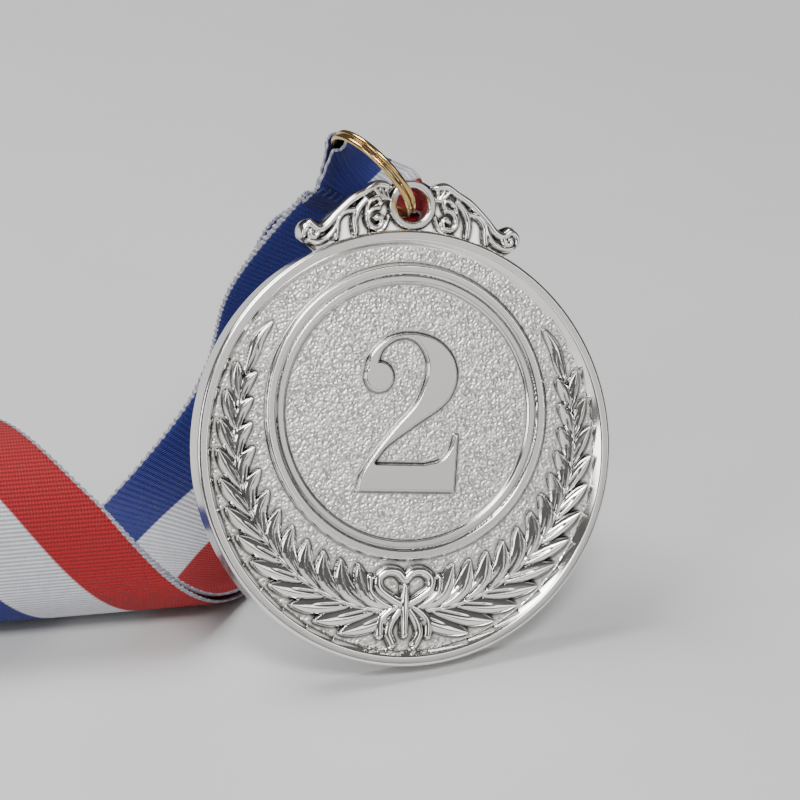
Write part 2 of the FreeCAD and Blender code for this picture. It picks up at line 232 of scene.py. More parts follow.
def multiply_node(nodes, links, first, second):
    """The product of two colours."""
    mix = nodes.new("ShaderNodeMix")
    mix.data_type = "RGBA"
    mix.blend_type = "MULTIPLY"
    mix.inputs["Factor"].default_value = 1.0
    links.new(first, mix.inputs["A"])
    links.new(second, mix.inputs["B"])
    return mix.outputs["Result"]


def bump_node(nodes, links, shader, height, depth):
    """Relief finer than the mesh, with its depth in metres."""
    bump = nodes.new("ShaderNodeBump")
    bump.inputs["Distance"].default_value = depth
    links.new(height, bump.inputs["Height"])
    links.new(bump.outputs["Normal"], shader.inputs["Normal"])


def metal(name, colour, worn, rough, grain, depth):
    """A metal with small changes of tone and gloss, painted shade darkening the relief's hollows, and a fine
    grain.
    """
    material, nodes, links, shader = new_material(name)
    shader.inputs["Metallic"].default_value = 1.0
    cloudy = noise_node(nodes, links, 260.0)
    tone = ramp_node(nodes, links, cloudy.outputs["Fac"], [(0.35, worn), (0.65, colour)])
    # Painted shade: the base colour darkens in the hollows between the relief and in the grain's valleys, as
    # marked on the mesh.
    recess_shade = nodes.new("ShaderNodeAttribute")
    recess_shade.attribute_name = "recess_shade"
    painted_hollow_shade = ramp_node(nodes, links, recess_shade.outputs["Fac"],
                        [(0.0, (1.0,)), (0.4, (0.50,)), (1.0, (0.10,))])
    mixed = multiply_node(nodes, links, tone.outputs["Color"], painted_hollow_shade.outputs["Color"])
    links.new(mixed, shader.inputs["Base Color"])
    gloss = ramp_node(nodes, links, cloudy.outputs["Fac"], [(0.3, (rough[0],)), (0.7, (rough[1],))])
    links.new(gloss.outputs["Color"], shader.inputs["Roughness"])
    fine = noise_node(nodes, links, grain, 2.0)
    bump_node(nodes, links, shader, fine.outputs["Fac"], depth)
    return material


def ribbon_material():
    """Ribbed weave in three stripes, with pale looped selvages."""
    material, nodes, links, shader = new_material("ribbon_weave")
    across = nodes.new("ShaderNodeAttribute")
    across.attribute_name = "across"
    along = nodes.new("ShaderNodeAttribute")
    along.attribute_name = "along"
    blue, white, red = (0.005, 0.014, 0.190), (0.74, 0.75, 0.81), (0.42, 0.003, 0.008)
    selvage = (0.52, 0.53, 0.62)
    stripes = ramp_node(nodes, links, across.outputs["Fac"], [
        (0.0, selvage), (0.012, selvage), (0.016, blue), (0.330, blue), (0.338, white), (0.662, white),
        (0.670, red), (0.984, red), (0.988, selvage), (1.0, selvage)])

    def wave(source, turns):
        """A sine with a number of turns for each unit of its source."""
        scaled = nodes.new("ShaderNodeMath")
        scaled.operation = "MULTIPLY"
        scaled.inputs[1].default_value = turns * 2 * math.pi
        links.new(source, scaled.inputs[0])
        sine = nodes.new("ShaderNodeMath")
        sine.operation = "SINE"
        links.new(scaled.outputs[0], sine.inputs[0])
        return sine.outputs[0]

    rib = wave(along.outputs["Fac"], 1 / RIB_PITCH)
    warp = wave(across.outputs["Fac"], WARP_THREADS)
    both = nodes.new("ShaderNodeMath")
    both.operation = "MULTIPLY"
    links.new(rib, both.inputs[0])
    links.new(warp, both.inputs[1])
    # Painted shade: the colour darkens in the grooves between the ribs.
    shade = ramp_node(nodes, links, rib, [(0.0, (0.62,)), (0.6, (1.0,))])
    patchy = noise_node(nodes, links, 900.0)
    patches = ramp_node(nodes, links, patchy.outputs["Fac"], [(0.3, (0.88,)), (0.7, (1.0,))])
    colour = stripes.outputs["Color"]
    for factor in (shade, patches):
        colour = multiply_node(nodes, links, colour, factor.outputs["Color"])
    links.new(colour, shader.inputs["Base Color"])
    rough = ramp_node(nodes, links, patchy.outputs["Fac"], [(0.3, (0.6,)), (0.7, (0.74,))])
    links.new(rough.outputs["Color"], shader.inputs["Roughness"])
    shader.inputs["Sheen Weight"].default_value = 0.08
    shader.inputs["Sheen Roughness"].default_value = 0.4
    bump_node(nodes, links, shader, both.outputs[0], 0.00004)
    return material


GRAIN = metal("nickel_grain", (0.86, 0.845, 0.815), (0.78, 0.765, 0.735), (0.34, 0.42), 3600.0, 0.00003)
# Satin nickel: its roughness is the real finish, while its base colour is made darker than the other nickels as
# a painted dark reflection.
SATIN_PAINTED_DARK = metal("nickel_satin_painted_dark", (0.47, 0.46, 0.445), (0.42, 0.41, 0.395), (0.27, 0.34), 14000.0, 0.000003)
POLISH = metal("nickel_polish", (0.90, 0.885, 0.86), (0.84, 0.825, 0.80), (0.11, 0.17), 2500.0, 0.000002)
BRASS = metal("ring_brass", (0.74, 0.53, 0.23), (0.58, 0.40, 0.16), (0.13, 0.24), 5000.0, 0.0000008)


# ---------------------------------------------------------------- medal

BAND_UP = 4.2
OUTER_BAND, INNER_BAND = (16.6, 0.9, 0.42, 0.4), (15.95, 1.0, 0.28, 0.3)  # radius, half width, height, wall
BAND_GROOVE = (16.12, 0.13, 0.16)  # radius, width, depth
NUMERAL_HIGH, NUMERAL_WALL = 0.5, 0.32
NUMERAL_BALL = (-3.62, 8.24, 1.93)  # place and radius
COLLAR_OUTSIDE, COLLAR_HIGH = 3.0, 0.75

FIELD_RADIUS, FIELD_FRONT, FIELD_BACK, GRAIN_HIGH = 24.0, 1.0, -1.5, 0.042
CREST_FRONT, CREST_BACK, CREST_ROUNDING = 0.72, -1.05, 0.25
RECESS_REACH, RECESS_DEEP = 0.28, 0.17
RIM_STEPS = 480
RIM_PROFILE = [  # radius and height round the rim's section
    (23.2, 0.9), (23.55, 0.98), (23.62, 1.02), (23.68, 1.09), (24.26, 1.78), (24.33, 1.85), (24.41, 1.89),
    (24.50, 1.90), (25.10, 1.90), (25.20, 1.89), (25.32, 1.85), (25.43, 1.75), (25.48, 1.65), (25.50, 1.52),
    (25.50, 1.2), (25.50, -1.2), (25.50, -1.52), (25.48, -1.65), (25.43, -1.75), (25.32, -1.85),
    (25.20, -1.89), (25.10, -1.90), (24.50, -1.90), (24.41, -1.89), (24.33, -1.85), (23.62, -1.52),
    (23.2, -1.45)]


def numeral_outline():
    """The numeral two as drawn on the medal: bowl and foot in one outline. Its ball is apart."""
    bowl = spline([(-5.5, 8.7), (-4.9, 10.9), (-3.1, 12.7), (-0.9, 13.5), (1.4, 13.5), (3.8, 12.7), (5.6, 10.9),
                   (6.2, 8.6), (5.6, 6.4), (4.2, 4.7), (1.0, 2.5), (-2.3, 0.1), (-3.8, -1.75)], 8)
    foot = spline([(2.2, -1.75), (4.1, -1.2), (5.2, 0.1), (5.75, 1.8)], 6)
    corners = [(6.45, 1.8), (6.1, -5.25), (-6.3, -5.25)]
    inner = spline([(-6.2, -4.7), (-5.7, -2.9), (-3.9, -0.2), (-1.5, 2.7), (0.8, 5.3), (2.1, 8.4), (2.0, 10.6),
                    (0.7, 12.4), (-1.2, 12.6), (-3.0, 11.4), (-3.7, 9.6)], 8)
    return np.vstack([bowl, foot, corners, inner])


def leaf(x, y, line, wide, high):
    """A convex pointed blade along a line, its crest nearer one edge, with a short vein."""
    line = np.asarray(line)
    low, top = line.min(0) - wide, line.max(0) + wide
    near = (x > low[0]) & (x < top[0]) & (y > low[1]) & (y < top[1])
    out = np.zeros(x.shape)
    d, s = line_distance(x[near], y[near], line)
    half = wide / 2 * np.clip(1 - (2 * s**1.05 - 1)**2, 1e-6, 1)**0.62
    q = d / half
    crest = 0.15
    slope = np.where(q > crest, (q - crest) / (1 - crest), (q - crest) / (-1 - crest))
    body = np.clip(1 - slope**1.9, 0, 1)**0.65
    vein = 0.30 * np.exp(-((d + 0.15 * half) / 0.14)**2) * np.clip(1 - s / 0.6, 0, 1)
    out[near] = high * body * (0.30 + 0.70 * s**0.6) * np.where(np.abs(q) < 1, 1, 0) - vein * (body > 0.05)
    return np.clip(out, 0, None)


def polar(angle, radius):
    """A point on the disc's face from its angle in degrees and its radius."""
    return radius * np.array([math.cos(math.radians(angle)), math.sin(math.radians(angle))])


def branch_leaves():
    """The left branch of the laurel as (line, width, height), from the bottom up."""
    found = []
    pairs = 12
    for k in range(pairs):
        up = k / (pairs - 1)
        wide, back = 2.25 - 0.75 * up, 20.0 - 9.0 * up
        tip = 249.5 - 94.0 * up
        stem = 19.2 + 2.0 * up
        for inward in (False, True):
            reach = 20.4 - 5.7 * (1 - up)**0.9 if inward else 23.05
            angle = tip - (3.0 if inward else 0.0) * (1 - up)
            base, end = polar(angle + back, stem - 0.2), polar(angle, reach)
            middle = polar(angle + 0.42 * back, stem + (reach - stem) * (0.36 if inward else 0.50))
            found.append((spline([base, middle, end], 5), wide, 0.8))
    found.append((spline([(-19.9, 8.0), (-19.0, 10.2), (-18.3, 12.3), (-16.7, 14.4)], 4), 1.5, 0.6))
    return found


def field_relief(x, y):
    """Height of the relief above the field, and what each place is: 0 grain, 1 satin with a painted dark
    reflection, 2 polish.
    """
    high = np.zeros(x.shape)
    kind = np.zeros(x.shape)
    ring = np.hypot(x, y - BAND_UP)
    outer, inner = (tall * rise(np.abs(ring - radius) - half, wall)
                    for radius, half, tall, wall in (OUTER_BAND, INNER_BAND))
    groove_radius, groove_wide, groove_deep = BAND_GROOVE
    groove = groove_deep * np.exp(-((ring - groove_radius) / groove_wide)**2)
    outer = np.where(ring > 16.1, outer, 0)
    band = np.clip(np.maximum(outer, inner) - groove, 0, None)
    high = np.maximum(high, band)
    kind = np.where((ring > 14.98) & (ring < 17.48), 2, kind)
    kind = np.where(((ring > 16.3) & (ring < 17.05)) | ((ring > 15.15) & (ring < 15.98)), 1, kind)

    ball_x, ball_y, ball_radius = NUMERAL_BALL
    ball = np.hypot(x - ball_x, y - ball_y) - ball_radius
    edge = np.minimum(outline_distance(x, y, numeral_outline()), ball)
    high = np.maximum(high, NUMERAL_HIGH * rise(edge, NUMERAL_WALL))
    kind = np.where(edge < 0.0, 2, kind)
    kind = np.where(edge < -0.30, 1, kind)

    relief = np.zeros(x.shape)
    for flip in (1, -1):
        fx = x * flip
        stem = spline([polar(262 - 104 * t, 19.2 + 2.0 * t) for t in np.linspace(0, 1, 9)], 6)
        relief = np.maximum(relief, ridge(fx, y, stem, 0.7, 0.3))
        for line, wide, tall in branch_leaves():
            relief = np.maximum(relief, leaf(fx, y, line, wide, tall))
        for line, wide, tall in bow_bands():
            relief = np.maximum(relief, ridge(fx, y, line, wide, tall))
    high = np.maximum(high, relief)
    kind = np.where(relief > 0.03, 2, kind)
    return high, kind


def bow_bands():
    """Half of the ribbon bow that ties the branches, as (line, width, height)."""
    loop = spline([(-0.1, -15.3), (-0.9, -14.5), (-2.2, -14.4), (-3.2, -15.2), (-3.1, -16.4), (-1.9, -17.4),
                   (-0.5, -18.2)], 8)
    outside = spline([(-4.3, -15.2), (-4.1, -16.9), (-2.6, -18.2), (-0.8, -18.9)], 8)
    tail_out = spline([(-0.5, -18.4), (-1.8, -19.0), (-2.9, -20.2), (-3.0, -21.9)], 8)
    tail_in = spline([(-0.6, -18.9), (-1.5, -20.2), (-1.9, -21.6), (-1.4, -22.9)], 8)
    tie = spline([(0, -16.2), (-0.1, -18.2), (0, -20.2), (0, -21.8)], 6)
    return [(loop, 1.3, 0.8), (outside, 1.1, 0.6), (tail_out, 1.1, 0.66), (tail_in, 1.2, 0.7), (tie, 1.0, 0.95)]


def crest_outline():
    """The crest seen from the front, down to where it runs under the rim."""
    half = [(0.0, 31.4), (1.5, 31.2), (2.6, 30.7), (3.3, 31.1), (4.2, 31.2), (5.0, 30.8),
            (5.9, 30.2), (7.5, 29.3), (9.6, 27.3), (10.8, 26.1), (11.4, 26.1), (12.3, 26.4),
            (13.3, 25.9), (13.65, 24.9), (13.3, 23.8), (12.3, 23.1), (11.2, 22.5)]
    half = spline(half, 6)
    return np.vstack([half, [(10.0, 21.6)], [(-10.0, 21.6)], mirrored(half)[::-1]])


def crest_relief(x, y):
    """Front of the crest: height above its sunk ground, and what each place is."""
    fx = np.abs(x)
    shoulder = spline([(3.0, 30.6), (4.3, 30.7), (5.8, 29.8), (7.4, 28.8),
                       (9.3, 27.0), (10.5, 25.6), (11.5, 25.2), (12.4, 25.8)], 8)
    share = np.linspace(0, 1, 40)

    def spiral(cx, cy, first, last, start, turns):
        """A scroll's line whose radius grows from first to last."""
        angle = math.radians(start) + share * turns * 2 * math.pi
        radius = first + (last - first) * share
        return np.stack([cx + radius * np.cos(angle), cy + radius * np.sin(angle)], 1)

    bands = [
        (shoulder, 1.15, 0.85),
        (spiral(12.2, 24.75, 0.2, 1.15, 20, -1.1), 0.95, 0.8),
        (spiral(4.35, 26.5, 0.2, 1.45, 60, 1.1), 0.85, 0.8),
        (spline([(5.6, 27.2), (5.3, 28.5), (4.3, 29.1), (3.9, 28.5), (4.3, 28.1)], 8), 0.7, 0.7),
        (spline([(6.9, 25.0), (7.05, 26.4), (6.6, 27.8), (5.7, 28.9)], 8), 0.9, 0.8),
        (spline([(7.0, 27.6), (8.3, 27.3), (9.1, 26.3), (9.2, 25.2), (9.3, 24.3)], 8), 0.85, 0.75),
        (spline([(9.2, 26.4), (9.6, 25.2), (10.4, 24.2), (11.5, 23.7), (12.6, 23.8)], 8), 0.85, 0.75),
        (spline([(2.9, 27.0), (3.3, 25.8), (4.2, 25.0), (5.2, 24.8)], 8), 0.6, 0.5),
    ]
    for lean in (0, 1, 2):
        flute = [(3.0 + 0.3 * lean, 29.1), (3.2 + 0.6 * lean, 29.9), (3.0 + 0.95 * lean, 30.8 - 0.2 * lean)]
        bands.append((spline(flute, 4), 0.72, 0.7))
    high = np.zeros(x.shape)
    for line, wide, tall in bands:
        high = np.maximum(high, ridge(fx, y, line, wide, tall))
    ring = np.hypot(x, y - HOLE_UP)
    collar = COLLAR_HIGH * rise(ring - COLLAR_OUTSIDE, 0.25) * rise(1.8 - ring, 0.2)
    high = np.maximum(high, collar)
    kind = np.full(x.shape, 2.0)
    kind = np.where((ring < 2.75) & (ring > 2.15), 1, kind)
    return high, kind


def recess_of(high, pitch):
    """How deep a place lies between the relief round it, 0 to 1."""
    reach = max(int(round(RECESS_REACH / pitch)), 1)
    soft = high
    for _ in range(2):
        for axis in (0, 1):
            soft = sum(np.roll(soft, k, axis) for k in range(-reach, reach + 1)) / (2 * reach + 1)
    return np.clip((soft - high) / RECESS_DEEP, 0, 1)


def plate(x, y, front, back, kind, edge, recess_shade):
    """A closed plate from two height fields, where edge is negative, with its outline pulled onto edge = 0."""
    gy, gx = np.gradient(edge, y[:, 0], x[0])
    size = np.maximum(gx**2 + gy**2, 1e-9)
    out = edge > 0
    x = np.where(out, x - gx * edge / size, x)
    y = np.where(out, y - gy * edge / size, y)
    inside = ~out
    cell = inside[:-1, :-1] | inside[1:, :-1] | inside[:-1, 1:] | inside[1:, 1:]
    quads = grid_quads(*x.shape)[cell.ravel()]
    low = quads[:, ::-1] + x.size
    edges = np.vstack([quads[:, [k, (k + 1) % 4]] for k in range(4)])
    keys = np.sort(edges, 1)
    numbers = keys[:, 0] * (x.size + 1) + keys[:, 1]
    _, first, count = np.unique(numbers, return_index=True, return_counts=True)
    rim = edges[first[count == 1]]
    walls = np.stack([rim[:, 1], rim[:, 0], rim[:, 0] + x.size, rim[:, 1] + x.size], 1)
    verts = np.vstack([np.stack([x.ravel(), y.ravel(), front.ravel()], 1),
                       np.stack([x.ravel(), y.ravel(), back.ravel()], 1)])
    faces = np.vstack([quads, low, walls])
    top_kind = kind.ravel()[quads].max(1)
    kinds = np.concatenate([top_kind, np.full(len(low), 1), np.full(len(walls), 2)])
    used, faces = np.unique(faces, return_inverse=True)
    recess_shade = np.concatenate([recess_shade.ravel(), np.zeros(recess_shade.size)])
    return verts[used], faces.reshape(-1, 4), kinds, recess_shade[used]


def grain_noise(shape, seed):
    """Pebbled grain: smoothed random heights between about -1 and 1."""
    noise = np.random.default_rng(seed).standard_normal(shape)
    for axis in (0, 1):
        noise = (np.roll(noise, 1, axis) + 1.9 * noise + np.roll(noise, -1, axis)) / 3.9
    return np.tanh(noise / noise.std() * 1.1)


def build_medal():
    """Rim, field plate and crest: closed shells of one casting."""
    pitch = 0.09
    parts = []

    span = np.arange(-24.2, 24.2 + pitch / 2, pitch)
    x, y = np.meshgrid(span, span)
    high, kind = field_relief(x, y)
    radius = np.hypot(x, y)
    plain = np.clip(1 - high / 0.04, 0, 1)
    hollow = recess_of(high, pitch)
    grain = grain_noise(x.shape, 2) * plain * np.clip(1 - 2.2 * hollow, 0, 1)
    front = FIELD_FRONT + high + GRAIN_HIGH * grain
    front = np.where(radius > 23.5, np.minimum(front, 1.02), front)
    back = np.full(x.shape, FIELD_BACK)
    # Painted shade, stored on the mesh: hollows between the relief and the valleys of the grain are marked for
    # darkening.
    recess_shade = np.clip(hollow + np.clip(-0.1 - 0.55 * grain, 0, 0.4), 0, 1)
    parts.append(plate(x, y, front, back, kind, radius - FIELD_RADIUS, recess_shade))

    across, upward = np.arange(-14.2, 14.2, pitch), np.arange(20.8, 32.0, pitch)
    x, y = np.meshgrid(across, upward)
    high, kind = crest_relief(x, y)
    edge = np.maximum(outline_distance(x, y, crest_outline()), HOLE_RADIUS - np.hypot(x, y - HOLE_UP))
    rounding = CREST_ROUNDING * np.clip(1 + edge / 0.3, 0, 1)**2
    front, back = CREST_FRONT + high - rounding, CREST_BACK - 0.3 * high + rounding
    parts.append(plate(x, y, front, back, kind, edge, recess_of(high, pitch)))

    kinds = [1 if abs(z) > 1.895 and abs(after[1]) > 1.895 else 2
             for (_, z), after in zip(RIM_PROFILE, [*RIM_PROFILE[1:], RIM_PROFILE[0]])]
    turn = np.linspace(0, 2 * math.pi, RIM_STEPS, endpoint=False)
    ring = np.array([[(r * math.cos(a), r * math.sin(a), z) for r, z in RIM_PROFILE] for a in turn])
    quads = grid_quads(RIM_STEPS, len(RIM_PROFILE), close_rows=True, close_columns=True)
    parts.append((ring.reshape(-1, 3), quads, np.tile(kinds, RIM_STEPS),
                  np.zeros(RIM_STEPS * len(RIM_PROFILE))))

    verts, faces, kinds, recesses, count = [], [], [], [], 0
    for points, quads, kind, recess_shade in parts:
        verts.append(points)
        faces.append(quads + count)
        kinds.append(kind)
        recesses.append(recess_shade)
        count += len(points)
    local = np.vstack(verts)
    world = DISC + local @ np.array([MEDAL_RIGHT, CREST_UP, FACE])
    medal = make_mesh("medal_casting", world, np.vstack(faces), [GRAIN, SATIN_PAINTED_DARK, POLISH], np.concatenate(kinds))
    fix_normals(medal)
    medal.data.set_sharp_from_angle(angle=math.radians(85))
    # The painted shade values go onto the mesh for the nickel materials to darken by.
    shade = medal.data.attributes.new("recess_shade", "FLOAT", "POINT")
    shade.data.foreach_set("value", np.concatenate(recesses).astype(np.float32))
    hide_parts("medal")
    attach(medal, "medal")


# ---------------------------------------------------------------- split ring

def build_ring():
    """Two turns of wire side by side, stepping across at the back, with cut ends."""
    angles = np.linspace(20, 700, 420)
    rise_at = (WIRE + 0.04) * np.interp(angles, [20, 340, 345, 360, 375, 380, 700],
                                        [-1, -1, -0.92, 0, 0.92, 1, 1])
    rows = [RING_CENTRE + turned(-FACE, RING_AXIS, a) * RING_RADIUS + RING_AXIS * h
            for a, h in zip(angles, rise_at)]
    verts, quads = tube(rows, WIRE, 20, flat=RING_AXIS)
    ring = make_mesh("split_ring_coil", verts, quads, [BRASS])
    fix_normals(ring)
    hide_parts("split_ring")
    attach(ring, "ring")


# ---------------------------------------------------------------- ribbon

COLUMNS = 27
U = np.linspace(-1, 1, COLUMNS)
BLUE_EDGE = -1 / 3
TOP_ACROSS = np.array([0.85, -0.1, -0.5])
RIB_PITCH, RIB_HIGH, RIB_SUNK, WARP_THREADS = 0.62, 0.035, 0.04, 84
LOOP_PITCH, LOOP_WIDE, SELVAGE_HALF = 0.93, 0.22, 0.10

CURL_HEADING = math.radians(168.5)
CURL_ALONG = np.array([math.cos(CURL_HEADING), math.sin(CURL_HEADING), 0])
CURL_BACK = np.array([math.sin(CURL_HEADING), -math.cos(CURL_HEADING), 0])
CURL_ORIGIN = FOOT + [-14.8, 24.0, 12.5]
CURL_RADIUS, CURL_PITCH, CURL_START, CURL_END, CURL_EASE = 12.15, 57.0, 14.6, 60, 120
ROLL_START, ROLL_BLEND, ROLL_TURNS, TWO_LAYERS = 280, 200, 1900, 1.72
ROW_STEP = 12  # degrees between rows in the curl and the roll

# The fold on the ring, at five places from the blue selvage to the red one: where it lies round the ring,
# and how far it stands off the wire on its tight side and on its loose side.
SLEEVE_SPOTS = [-1.0, -0.7, -0.33, 0.33, 1.0]
SLEEVE_ANGLES = [62.0, 33.0, -16.0, -43.0, -56.0]
SLEEVE_TIGHT = [1.1, 1.2, 1.4, 1.4, 1.3]
SLEEVE_LOOSE = [1.2, 2.4, 4.6, 5.6, 3.4]
FLARE_FROM, FLARE_RIGHT, FLARE_DOWN = 0.24, 1.6, 3.0
GATHER_BELOW, GATHER_WIDE, GATHER_BLUE_EDGE, PLEAT_DEEP = 2.9, 5.8, 0.5, 0.22
GATHER_BACK_FRONT, GATHER_BACK_REAR = 0.4, 1.3

# The front tail's rows, upwards: place from the foot, direction across, width, end of the blue stripe.
FRONT_TAIL = [
    ((-19.4, 34.5, 3.6), (0.65, -0.76, -0.02), RIBBON_WIDE, BLUE_EDGE),
    ((-7.6, 34.0, 13.0), (0.63, -0.59, -0.5), RIBBON_WIDE, BLUE_EDGE),
    ((-1.0, 33.0, 30.0), (0.86, -0.31, -0.41), RIBBON_WIDE, BLUE_EDGE),
    ((2.9, 29.4, 43.7), TOP_ACROSS, 18.0, 0.3)]

LEG_HIGH, LEG_HIGH_WIDE, LEG_LOW = [1.6, 34.0, 38.0], 20.0, [-0.4, 40.0, 20.0]
CREASE_BACK = 31.4
CREASE_BEND = ((0.6, 1.1), (0.1, 0.45), (-0.6, 0.12), (-3.0, 0.0))  # how far back and up of each row


def straight(middle, across, wide, blue_edge=BLUE_EDGE):
    """A row of points across the ribbon. Where it is bunched, the blue stripe ends further across."""
    spread = np.interp(U, [-1, BLUE_EDGE, 1], [-1, blue_edge, 1])
    return np.asarray(middle) + spread[:, None] * unit(across) * wide / 2


def curl_radius(angle, layer):
    """Radius of a layer's middle: the curl keeps it, then each turn of the roll lies inside the last."""
    step = np.clip((angle - ROLL_START) / ROLL_BLEND, 0, 1)
    radius = (CURL_RADIUS - TWO_LAYERS * step * step * (3 - 2 * step)
              - TWO_LAYERS * max(angle - ROLL_START - ROLL_BLEND, 0) / 360)
    return radius - LAYER * layer


def curl_row(angle, layer):
    """Points across the ribbon where it winds round the curl's axis; layer 0 is the outer one."""
    slope = CURL_PITCH / 360
    along = CURL_START + slope * min(angle, CURL_EASE)
    if angle > CURL_EASE:
        left = CURL_END - along
        fade = math.exp(-slope * (angle - CURL_EASE) / left)
        along, slope = CURL_END - left * fade, slope * fade
    radius = curl_radius(angle, layer)
    turn = math.radians(angle)
    outward = CURL_BACK * -math.sin(turn) - np.array([0, 0, math.cos(turn)])
    pace = math.atan2(math.degrees(slope), CURL_RADIUS)
    middle = CURL_ORIGIN + CURL_ALONG * along + outward * radius
    return straight(middle, -CURL_ALONG, RIBBON_WIDE / math.cos(pace))


def sleeve_row(around):
    """Points across the ribbon where it folds over the ring: across runs along the ring's back.

    The fold is tight on the wire at the blue end, and opens out towards the medal.
    """
    turn = math.radians(around)
    rows = []
    for u in U:
        outward = turned(-FACE, RING_AXIS, np.interp(u, SLEEVE_SPOTS, SLEEVE_ANGLES))
        tight = np.interp(u, SLEEVE_SPOTS, SLEEVE_TIGHT)
        loose = np.interp(u, SLEEVE_SPOTS, SLEEVE_LOOSE)
        sideways = loose if math.cos(turn) < 0 else tight
        flare = np.clip((u - FLARE_FROM) / (1 - FLARE_FROM), 0, 1)**0.55 * (1 - math.cos(turn)) / 2
        flared = flare * (MEDAL_RIGHT * FLARE_RIGHT - CREST_UP * FLARE_DOWN)
        place = RING_CENTRE + outward * RING_RADIUS + flared
        rows.append(place - RING_AXIS * math.cos(turn) * sideways - outward * math.sin(turn) * tight)
    return np.array(rows)


def gathered(middle):
    """A pleated row below the ring."""
    pleats = np.sin(U * 3.5 * math.pi)[:, None] * unit(FACE) * PLEAT_DEEP
    return straight(middle, TOP_ACROSS, GATHER_WIDE, GATHER_BLUE_EDGE) + pleats


def ribbon_rows():
    """Rows across the ribbon from end to end: roll, curl, front tail, fold, rear tail, crease, curl, roll."""
    rows = [curl_row(a, 1) for a in range(ROLL_TURNS, -1, -ROW_STEP)]
    for place, across, wide, blue_edge in FRONT_TAIL:
        rows.append(straight(FOOT + place, across, wide, blue_edge))
    ring_back = RING_CENTRE - FACE * RING_RADIUS
    rows.append(gathered(ring_back - RING_AXIS * GATHER_BELOW - FACE * GATHER_BACK_FRONT))
    rows += [sleeve_row(around) for around in range(30, 331, 20)]
    rows.append(gathered(ring_back - RING_AXIS * GATHER_BELOW - FACE * GATHER_BACK_REAR))

    flat_start = curl_row(0, 0)
    end = flat_start.mean(0)
    end_wide = np.linalg.norm(flat_start[-1] - flat_start[0])
    pace = math.acos(RIBBON_WIDE / end_wide)
    run_back = CURL_BACK * math.cos(pace) - CURL_ALONG * math.sin(pace)
    crease_place = end + run_back * CREASE_BACK
    leg_high, leg_low = FOOT + LEG_HIGH, FOOT + LEG_LOW
    leg = unit(crease_place - leg_low)
    crease = unit(np.cross([0, 0, 1], leg + run_back))
    crease = crease if crease[0] > 0 else -crease
    leg_across = unit(crease - leg * crease.dot(leg))
    rows.append(straight(leg_high, TOP_ACROSS + leg_across, LEG_HIGH_WIDE))
    rows.append(straight(leg_low, leg_across, RIBBON_WIDE))
    crease_wide = RIBBON_WIDE / abs(np.cross(crease, run_back)[2])
    for back, up in CREASE_BEND:
        bend = crease_place + run_back * (back - CREASE_BEND[0][0]) + np.array([0, 0, up])
        rows.append(straight(bend, crease, crease_wide))
    for share in (0.3, 0.5, 0.7, 0.9):
        across = crease * crease_wide * (1 - share) - CURL_ALONG * share * end_wide
        rows.append(straight(crease_place + (end - crease_place) * share, across, np.linalg.norm(across)))
    rows += [curl_row(a, 0) for a in range(0, ROLL_TURNS + 1, ROW_STEP)]
    return np.array(rows)


def smooth_rows(rows, spacing):
    """The rows resampled evenly along a smooth surface through them, and the length along it."""
    gaps = np.linalg.norm(np.diff(rows[:, COLUMNS // 2], axis=0), axis=1)**0.5
    knots = np.concatenate([[0], np.cumsum(gaps)])
    padded = np.concatenate([2 * rows[:1] - rows[1:2], rows, 2 * rows[-1:] - rows[-2:-1]])
    times = np.concatenate([[-gaps[0]], knots, [knots[-1] + gaps[-1]]])

    def at(t):
        """The rows at any places along the knots."""
        k = np.clip(np.searchsorted(knots, t, side="right") - 1, 0, len(rows) - 2)
        t = t[:, None, None]
        p = [padded[k + i] for i in range(4)]
        s = [times[k + i][:, None, None] for i in range(4)]
        a = [((s[i + 1] - t) * p[i] + (t - s[i]) * p[i + 1]) / (s[i + 1] - s[i]) for i in range(3)]
        b = [((s[i + 2] - t) * a[i] + (t - s[i]) * a[i + 1]) / (s[i + 2] - s[i]) for i in range(2)]
        return ((s[2] - t) * b[0] + (t - s[1]) * b[1]) / (s[2] - s[1])

    fine = np.linspace(0, knots[-1], len(rows) * 24)
    middle = at(fine)[:, COLUMNS // 2]
    length = np.concatenate([[0], np.cumsum(np.linalg.norm(np.diff(middle, axis=0), axis=1))])
    places = np.arange(0, length[-1], spacing)
    return at(np.interp(places, length, fine)), places


